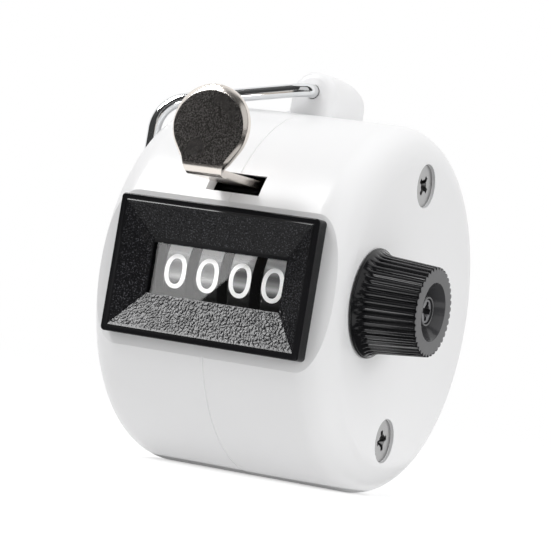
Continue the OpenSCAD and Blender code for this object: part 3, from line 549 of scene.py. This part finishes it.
def frame_loop(half_w, half_h, corner):
    """Rounded rectangle for each level: corner centres drawn in by the radius, plus the turning radius."""
    across, upright, bend = 280, 178, 5
    t = np.linspace(0.0, 1.0, across, endpoint=False)
    u = np.linspace(0.0, 1.0, upright, endpoint=False)
    a = np.linspace(0.0, 1.0, bend, endpoint=False) * np.pi / 2.0
    one_a, one_u, one_t = np.ones(bend), np.ones(upright), np.ones(across)
    kx = np.concatenate([one_u, one_a, 1 - 2 * t, -one_a, -one_u, -one_a, 2 * t - 1, one_a])
    kz = np.concatenate([2 * u - 1, one_a, one_t, one_a, 1 - 2 * u, -one_a, -one_t, -one_a])
    turn = np.concatenate([0 * one_u, a, np.pi / 2 * one_t, np.pi / 2 + a, np.pi * one_u, np.pi + a,
                           1.5 * np.pi * one_t, 1.5 * np.pi + a])
    hw, hh, r = (np.asarray(v, float)[:, None] for v in (half_w, half_h, corner))
    return kx * (hw - r) + r * np.cos(turn), kz * (hh - r) + r * np.sin(turn)


def pebbles(x, z, cell, seed):
    """Pebbles with creases: on a jittered grid of points, the second nearest distance less the nearest."""
    repeat, full = 64, 0.6
    jitter = np.random.default_rng(seed).uniform(0.0, 1.0, (repeat, repeat, 2))
    gx, gz = x / cell, z / cell
    ix, iz = np.floor(gx), np.floor(gz)
    far = []
    for sx in (-1, 0, 1):
        for sz in (-1, 0, 1):
            cx, cz = ix + sx, iz + sz
            spot = jitter[cx.astype(int) % repeat, cz.astype(int) % repeat]
            far.append(np.hypot(cx + spot[..., 0] - gx, cz + spot[..., 1] - gz))
    far = np.sort(np.stack(far), axis=0)
    return np.clip(far[1] - far[0], 0.0, full) / full


def leather_grain(x, z):
    """Height of the grain about its level: coarse, leaning pebbles and finer ones, warped by two waves."""
    coarse, coarse_squash, coarse_lean, coarse_round = 0.40, 1.15, 0.3, 0.8
    fine, fine_squash, fine_shift, fine_share = 0.24, 1.1, 3.3, 0.5
    rise, level = 0.06, 0.9
    # each wave has a height, and radians to the millimetre across and up
    waves = ((0.1, 3.3, 2.1), (0.08, -2.9, 4.1))
    warp = sum(height * np.sin(across * x + up * z) for height, across, up in waves)
    grain = pebbles(x + warp, z * coarse_squash + warp + coarse_lean * x, coarse, seed=11) ** coarse_round
    grain += fine_share * pebbles(x + fine_shift, z * fine_squash + warp, fine, seed=5)
    return rise * (grain - level)


def make_bezel():
    """Window frame: a rounded rectangle carried through a closed row of levels, with grain on the slopes.

    Each level has half a width, half a height, a lift, a depth, a corner radius and a share of the grain.
    """
    low, high = box_mm("bezel")
    lens_low, lens_high = box_mm("window_lens")
    wide, tall, middle_z = high[0], (high[2] - low[2]) / 2.0, (low[2] + high[2]) / 2.0
    lens_w, lens_h = lens_high[0], (lens_high[2] - lens_low[2]) / 2.0
    front, back, lens_front = low[1], high[1], lens_low[1]
    seat, lip, collar, rim, floor_edge = 0.05, 0.9, 0.9, 0.8, 0.45
    bead, groove, groove_out, groove_in, brow = 0.14, 0.055, 0.2, 0.11, 0.38
    groove_fade, groove_end = 2.0, 0.6
    outer_corner, rim_corner, inner_corner = 0.5, 0.1, 0.05
    bead_steps, slope_levels, slope_fade = 6, 55, 16.0
    flat = lens_front - floor_edge
    open_w, open_h, seat_out = lens_w - lip, lens_h - lip, lip + seat
    # outer wall, its rounded front edge, the flat rim and a fine groove in it: distance inwards and depth
    b = np.linspace(0.0, np.pi / 2.0, bead_steps)
    inset = np.concatenate([[0.0], bead * (1 - np.cos(b)), [rim - groove_out, rim - groove_in, rim]])
    rim_deep = np.concatenate([[flat], front + bead * (1 - np.sin(b)), [front, front + groove, front]])
    # slopes: share of the way from the rim to the plain brow over the window
    down = np.linspace(0.0, 1.0, slope_levels + 1)[1:]
    # window edge, seat of the lens, collar and back, which closes on the outer wall: growth and depth
    grow = np.array([0.0, 0.0, seat_out, seat_out, seat_out + collar, seat_out + collar])
    grow_deep = np.array([flat, lens_front, lens_front, back, back, flat])
    rim_w, rim_h = wide - rim, tall - rim
    half_w = np.concatenate([wide - inset, rim_w + (open_w - rim_w) * down, open_w + grow])
    half_h = np.concatenate([tall - inset, rim_h + (open_h + brow / 2 - rim_h) * down, open_h + grow])
    lift = np.concatenate([0 * inset, brow / 2 * down, 0 * grow])
    depth = np.concatenate([rim_deep, front + (flat - front) * down, grow_deep])
    corner = np.concatenate([np.maximum(outer_corner - inset, rim_corner),
                             np.full(len(down) + len(grow), inner_corner)])
    slope = np.concatenate([0 * inset, np.clip(np.minimum(down, 1 - down) * slope_fade, 0, 1), 0 * grow])
    x, z = frame_loop(half_w, half_h, corner)
    y = depth[:, None] - slope[:, None] * leather_grain(x, z)
    # the groove runs along the top and fades out down the sides
    groove_level = len(inset) - 2
    groove_share = np.clip(groove_fade * z[groove_level] / tall - groove_end, 0.0, 1.0)
    y[groove_level] = front + groove * groove_share
    points = np.stack([x, y, z + lift[:, None] + middle_z], -1)
    rows, cols = x.shape
    faces = quads(rows, cols, True, True)[:, ::-1].tolist()
    piece = make_piece("bezel_frame", points.reshape(-1, 3), faces, bezel_black.material,
                       "case")
    mark = piece.data.attributes.new("grained", "FLOAT", "POINT")
    mark.data.foreach_set("value", np.repeat(slope, cols).astype(np.float32))
    # crisp edges on the outer wall's foot, the groove, the window edge and the back
    ends = np.empty(2 * len(piece.data.edges), int)
    piece.data.edges.foreach_get("vertices", ends)
    level = ends.reshape(-1, 2) // cols
    hard = [0, *range(groove_level - 1, len(inset)), *range(rows - len(grow) - 1, rows)]
    crisp = (level[:, 0] == level[:, 1]) & np.isin(level[:, 0], hard)
    sharp = piece.data.attributes.new("sharp_edge", "BOOLEAN", "EDGE")
    sharp.data.foreach_set("value", crisp)
    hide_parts("bezel")


# Knob, lever and spring

def make_knob():
    """Fluted knob: rings round the shaft, each with a place along it, a radius and a depth for its flutes.

    A flute is half of one less a cosine, raised to a power that leaves broad ridges between narrow flutes.
    """
    low, high = box_mm("reset_knob")
    middle, length = (low + high) / 2.0, high[0] - low[0]
    flange, foot, tip, bore = (high[2] - low[2]) / 2.0, 5.95, 5.3, 1.53
    rim, edge, flare, flare_power = 0.17, 0.12, 1.7, 2.4
    flutes, flute_deep, flute_power, flute_start, flute_run, flute_steps = 40, 0.30, 2.2, 0.45, 1.2, 12
    land, recess, recess_floor, recess_deep, boss, boss_drop = 0.6, 3.45, 2.7, 1.9, 1.8, 0.75
    mouth_out, mouth_in, mouth_deep, boss_edge, crease = 0.05, 0.03, 0.08, 0.1, 38.0
    rim_steps, body_steps, edge_steps = 9, 44, 5
    turn = np.linspace(0.0, np.pi, rim_steps)
    quarter = np.linspace(0.0, np.pi / 2.0, edge_steps)[1:]
    # rounded rim, a hollow flare that runs out into the taper, and the rounded end edge
    along = np.linspace(2.0 * rim, length - edge, body_steps)
    taper = foot + (tip - foot) * along / length
    left = np.clip(1.0 - (along - along[0]) / flare, 0.0, 1.0)
    body = taper + (flange - rim - taper[0]) * left ** flare_power
    fade = np.clip((along - flute_start) / flute_run, 0.0, 1.0)
    fade = fade * fade * (3.0 - 2.0 * fade)
    # end face, recess, boss and bore: distance in from the end and radius
    end_in, end_r = np.array([(0.0, tip - land), (0.0, recess + mouth_out), (mouth_deep, recess - mouth_in),
                              (recess_deep, recess_floor), (recess_deep, boss),
                              (boss_drop + boss_edge, boss), (boss_drop, boss - boss_edge),
                              (boss_drop, bore)]).T
    x = np.concatenate([[0.0], rim * (1.0 - np.cos(turn)), along[1:],
                        length - edge * (1.0 - np.sin(quarter)), length - end_in])
    r = np.concatenate([[bore], flange - rim * (1.0 - np.sin(turn)), body[1:],
                        body[-1] - edge * (1.0 - np.cos(quarter)), end_r])
    deep = flute_deep * np.concatenate([[0.0], 0.0 * turn, fade[1:], np.ones(len(quarter)), 0.0 * end_in])
    angle = np.linspace(0.0, TURN, flute_steps * flutes, endpoint=False)
    scallop = (0.5 - 0.5 * np.cos(flutes * angle)) ** flute_power
    radius = r[:, None] - deep[:, None] * scallop
    points = np.stack([low[0] + x[:, None] + 0.0 * radius, middle[1] + radius * np.cos(angle),
                       middle[2] + radius * np.sin(angle)], -1)
    faces = quads(*radius.shape, True, True).tolist()
    piece = make_piece("fluted_knob", points.reshape(-1, 3), faces, knob_black.material,
                       "reset_shaft")
    piece.data.set_sharp_from_angle(angle=math.radians(crease))
    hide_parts("reset_knob")


def make_thumb_pad():
    """Plated pad with shoulders that run round the bend: an outline drawn in ring by ring, and then bent.

    The outline is a round that two leaning lines leave at a tangent until they are as wide apart as the
    arm, and then a plain strip. Each ring of the edge has an inset and a depth, which a narrow strip has no
    room for. Below the straight part, distance along the sheet becomes an angle round the bend and then a
    run along the arm.
    """
    low, high = box_mm("thumb_lever")
    pad, sheet, bend, arm_half, drop, run_on = 4.85, 0.9, 0.5, 2.3, 4.35, 0.6
    slim, side_bevel, lean, crease = 0.01, 0.5, math.radians(34.0), 50.0
    rings, round_steps, lean_steps, strip_steps, end_steps = 60, 90, 14, 12, 12
    # bevelled edge from the face outwards: inset from the outline and depth below the face
    edge_in, edge_deep = np.array([(0.90, 0.0), (0.80, 0.014), (0.70, 0.055),
                                   (0.10, 0.44), (0.03, 0.51), (0.0, 0.60)]).T
    pad_z = high[2] - pad
    pad, half = pad + slim, arm_half + slim
    tangent_x, tangent_z = pad * math.cos(lean), -pad * math.sin(lean)
    strip_z = tangent_z - (tangent_x - half) / math.tan(lean)
    bend_r = bend + sheet / 2.0
    bend_long = bend_r * math.pi / 2.0
    end_z = -drop - bend_long - run_on
    # outline from the right shoulder over the top to the left one, down, across the end and up again
    a = np.linspace(-lean, np.pi + lean, round_steps)
    side_z = np.concatenate([np.linspace(tangent_z, strip_z, lean_steps)[1:],
                             np.linspace(strip_z, end_z, strip_steps)[1:]])
    side_x = np.interp(side_z, [end_z, strip_z, tangent_z], [half, half, tangent_x])
    end_x = np.linspace(-half, half, end_steps)[1:-1]
    x = np.concatenate([np.cos(a) * pad, -side_x, end_x, side_x[::-1]])
    z = np.concatenate([np.sin(a) * pad, side_z, end_z + 0 * end_x, side_z[::-1]])
    out = np.concatenate([a, a[-1] + 0 * side_x, 0 * end_x, a[0] + 0 * side_x])
    room = np.where(z > tangent_z, 1.0, np.clip((np.abs(x) - half) / edge_in[0], 0.0, 1.0))
    # the bevel is widest over the top and narrower at the sides and shoulders
    bevel = side_bevel + (1.0 - side_bevel) * np.clip(np.sin(out), 0.0, 1.0)
    # rings from the middle of the face, over the bevelled edge, to the middle of the back
    plain_deep = np.linspace(0.0, edge_deep[-1], len(edge_deep))
    grow = np.linspace(0.0, 1.0, rings)[1:-1]
    shrink = np.concatenate([grow, np.ones(len(edge_in) + 1), grow[::-1]])[:, None]
    inset = np.concatenate([edge_in[0] + 0 * grow, edge_in, [0.0], 0 * grow])[:, None] * room * bevel
    deep = room * edge_deep[:, None] + (1.0 - room) * plain_deep[:, None]
    deep = np.concatenate([np.zeros((len(grow), len(x))), deep, np.zeros((1 + len(grow), len(x)))])
    back = np.concatenate([0 * grow, 0 * edge_in, [1.0], 1 + 0 * grow])[:, None] + 0 * deep
    across, up = shrink * (x - inset * np.cos(out)), shrink * (z - inset * np.sin(out))
    rows, cols = deep.shape
    # the middle points of the face and of the back come last
    across, up, deep, back = (np.append(grid, ends) for grid, ends in (
        (across, [0.0, 0.0]), (up, [0.0, 0.0]), (deep, [0.0, 0.0]), (back, [0.0, 1.0])))
    # bend the sheet; the plating is thickest on the pad and thins out round the bend
    past = np.clip(-up - drop, 0.0, None)
    proud = slim + (PAD_PROUD - slim) * np.clip(1.0 - past / bend_long, 0.0, 1.0)
    reach = bend + sheet - np.where(back > 0.5, sheet + slim, deep - proud)
    turn = np.minimum(past / bend_r, np.pi / 2.0)
    y = low[1] + bend + sheet - reach * np.cos(turn) + np.clip(past - bend_long, 0.0, None)
    points = np.stack([across, y, pad_z + np.maximum(up, -drop) - reach * np.sin(turn)], -1)
    ring = np.arange(cols)
    after = (ring + 1) % cols
    last = (rows - 1) * cols
    faces = quads(rows, cols, False, True).tolist()
    faces += np.stack([after, ring, 0 * ring + rows * cols], -1).tolist()
    faces += np.stack([ring + last, after + last, 0 * ring + rows * cols + 1], -1).tolist()
    piece = make_piece("thumb_pad", points, faces, pad_nickel.material, "lever")
    piece.data.set_sharp_from_angle(angle=math.radians(crease))


def make_return_spring():
    """Coil spring: a round of wire carried up a helix from tail to bridge."""
    low, high = box_mm("lever_spring")
    wire, turns, steps, sides = 0.5, 4.0, 160, 12
    middle, coil = (low + high) / 2.0, (high[0] - low[0] - wire) / 2.0
    along = np.linspace(0.0, 1.0, steps)[:, None]
    round_wire = np.linspace(0.0, TURN, sides, endpoint=False)
    turn = TURN * turns * along
    radius = coil + wire / 2.0 * np.cos(round_wire)
    rise = low[2] + wire / 2.0 + (high[2] - low[2] - wire) * along + wire / 2.0 * np.sin(round_wire)
    points = np.stack([middle[0] + radius * np.cos(turn), middle[1] + radius * np.sin(turn), rise], -1)
    last = (steps - 1) * sides
    faces = quads(steps, sides, False, True)[:, ::-1].tolist()
    faces += [list(range(sides)), list(range(last, last + sides))[::-1]]
    piece = make_piece("return_spring", points.reshape(-1, 3), faces, spring_steel.material)
    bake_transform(piece)
    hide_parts("lever_spring")


# Studio

# camera: rotation vector in radians, way to the drum's centre (right, down, ahead), and focal length and
# width of the picture in pixels
CAMERA_TURN = np.array([1.4685, 0.4657, -0.2266])
CAMERA_WAY = (1.6457, 2.5406, 347.5534)
FOCAL_PX, PICTURE_PX, SENSOR = 2814.5176, 551.0, 36.0
WHITE = (1.0, 1.0, 1.0)


def place_camera():
    """Camera turned by a rotation vector and set back so that the part stands as in the picture."""
    angle = float(np.linalg.norm(CAMERA_TURN))
    rotation = Matrix.Rotation(angle, 3, Vector(CAMERA_TURN / angle))
    right, down, ahead = (Vector(row) for row in rotation)
    lens = bpy.data.cameras.new("camera")
    lens.sensor_width = SENSOR
    lens.lens = FOCAL_PX / PICTURE_PX * SENSOR
    lens.clip_start, lens.clip_end = 10.0 * MM, 20000.0 * MM
    camera = add_object("camera", lens)
    camera.matrix_world = Matrix((right, -down, -ahead)).transposed().to_4x4()
    camera.location = -(right * CAMERA_WAY[0] + down * CAMERA_WAY[1] + ahead * CAMERA_WAY[2]) * MM
    bpy.context.scene.camera = camera


def softbox(name, place, wide, tall, light, aim=(0.0, -5.0, 2.0)):
    """Rectangular lamp turned at a point; its power follows from the brightness of its face."""
    data = bpy.data.lights.new(name, "AREA")
    data.shape, data.size, data.size_y = "RECTANGLE", wide * MM, tall * MM
    data.energy = light * math.pi * wide * tall * MM * MM
    lamp = add_object(name, data)
    away = (Vector(place) - Vector(aim)).normalized()
    lamp.matrix_world = away.to_track_quat("Z", "Y").to_matrix().to_4x4()
    lamp.location = Vector(place) * MM
    lamp.visible_glossy = lamp.visible_camera = lamp.visible_transmission = False


def toward(side, up, distance):
    """Points at a distance, by the angle to the right of the front and the angle above the floor."""
    side, up = np.radians(side), np.radians(up)
    return distance * np.stack([np.cos(up) * np.sin(side), -np.cos(up) * np.cos(side), np.sin(up)], -1)


def level_corners(x, y, level):
    """Corners of a level rectangle between two x and two y."""
    return np.array([(x[0], y[0], level), (x[1], y[0], level), (x[1], y[1], level), (x[0], y[1], level)])


def matte(name, grey):
    """Grey material without gloss, and the socket for the strength of its white glow."""
    material = bpy.data.materials.new(name)
    material.use_nodes = True
    surface = material.node_tree.nodes["Principled BSDF"]
    surface.inputs["Base Color"].default_value = (grey, grey, grey, 1.0)
    surface.inputs["Roughness"].default_value = 1.0
    surface.inputs["Specular IOR Level"].default_value = 0.0
    surface.inputs["Emission Color"].default_value = (*WHITE, 1.0)
    return material, surface.inputs["Emission Strength"]


def stage_mesh(name, points, faces, material):
    """Mesh of the studio."""
    mesh = bpy.data.meshes.new(name)
    mesh.from_pydata((points * MM).tolist(), [], faces)
    mesh.materials.append(material)
    made = add_object(name, mesh)
    return made


def card(name, points, glow, faces=((0, 1, 2, 3),)):
    """Studio card seen only in gloss and in the lens: black to keep them dark, or lit to lay a sheen."""
    material, strength = matte(name, 0.0)
    strength.default_value = glow
    sheet = stage_mesh(name, points, faces, material)
    sheet.visible_camera = sheet.visible_diffuse = sheet.visible_shadow = False
    sheet.visible_volume_scatter = False


def seen_directly(tree):
    """1 for rays that show the background itself: to the eye, in gloss and through glass."""
    path = add_node(tree, "ShaderNodeLightPath")
    both = math_node(tree, "MAXIMUM", path.outputs["Is Camera Ray"], path.outputs["Is Glossy Ray"])
    return math_node(tree, "MAXIMUM", both, path.outputs["Is Transmission Ray"])


def lay_floor(level, grey, white):
    """Pale paper floor, lifted to white where it is seen, that keeps the shadow."""
    reach = 3000.0
    material, strength = matte("floor_paper", grey)
    tree = material.node_tree
    tree.links.new(math_node(tree, "MULTIPLY", seen_directly(tree), white), strength)
    stage_mesh("floor", level_corners((-reach, reach), (-reach, reach), level), [(0, 1, 2, 3)], material)


def hang_sky(level):
    """Even white surround: full white where it is seen, and a set level where it lights the part."""
    world = bpy.data.worlds.new("surround")
    world.use_nodes = True
    bpy.context.scene.world = world
    tree = world.node_tree
    back = tree.nodes["Background"]
    back.inputs["Color"].default_value = (*WHITE, 1.0)
    span = math_node(tree, "MULTIPLY", seen_directly(tree), 1.0 - level)
    tree.links.new(math_node(tree, "ADD", span, level), back.inputs["Strength"])


def light_studio():
    """White surround, lamps up to the left, above, to the right and on the floor, and gloss cards."""
    floor = cad_bounds[0][2] / MM
    mat, low_card, black = floor + 0.5, floor + 1.5, 0.05
    canopy_far, key_far, rim_far = 700.0, 500.0, 480.0
    canopy_left, canopy_right, canopy_top, rows, cols = -84.0, 106.0, 68.0, 9, 21
    hang_sky(level=0.69)
    lay_floor(floor, grey=0.55, white=0.62)
    softbox("key_box", (-130.0, -180.0, 215.0), wide=110.0, tall=90.0, light=8.5)
    softbox("top_box", (20.0, -10.0, 260.0), wide=220.0, tall=160.0, light=1.15)
    softbox("side_box", (320.0, -80.0, 40.0), wide=160.0, tall=200.0, light=3.6)
    softbox("table_box", (4.0, -8.0, mat), wide=80.0, tall=70.0, light=0.36, aim=(4.0, -8.0, 100.0))
    # a dark dome over the front, and a dark mat in front of the part and to its right
    side, up = np.meshgrid(np.linspace(canopy_left, canopy_right, cols), np.linspace(0.0, canopy_top, rows))
    dome = toward(side, up, canopy_far).reshape(-1, 3)
    card("black_canopy", dome, black, quads(rows, cols, False, False).tolist())
    near, right, behind, reach, ahead = -66.0, 15.0, 30.0, 500.0, -700.0
    mat_corners = [(-reach, near, mat), (right, near, mat), (right, behind, mat), (reach, behind, mat),
                   (reach, ahead, mat), (-reach, ahead, mat)]
    card("black_mat", np.array(mat_corners), black, [(0, 1, 4, 5), (1, 2, 3, 4)])
    # lit cards for the bezel's lower slope, the knob's flutes, the pad's bevel and shoulder, and the lens
    card("key_sheen", toward([-25.0, -62.0, -62.0, -42.0], [27.0, 27.0, 58.0, 58.0], key_far), glow=27.0)
    card("knob_sheen", level_corners((-9.0, 9.0), (-66.0, -96.0), low_card), glow=8.0)
    card("rim_sheen", toward([32.0, 84.0, 84.0, 32.0], [6.0, 6.0, 52.0, 52.0], rim_far), glow=0.7)
    card("shoulder_sheen", level_corners((30.0, 70.0), (-26.0, -50.0), low_card), glow=0.75)
    lens_y, top, foot, left, top_right, foot_right = -120.0, 11.0, -4.0, -66.0, -41.6, -57.0
    lens_corners = [(top_right, lens_y, top), (left, lens_y, top), (left, lens_y, foot),
                    (foot_right, lens_y, foot)]
    card("lens_sheen", np.array(lens_corners), glow=2.6)


finish_plain_pieces()
finish_case()
finish_lens()
finish_wheels()
finish_lever()
finish_knob()
finish_bezel()
make_bezel()
make_knob()
make_thumb_pad()
make_return_spring()
for wheel in WHEELS:
    print_numbers(wheel)
light_studio()
place_camera()

bpy.context.scene.view_settings.view_transform = "Standard"
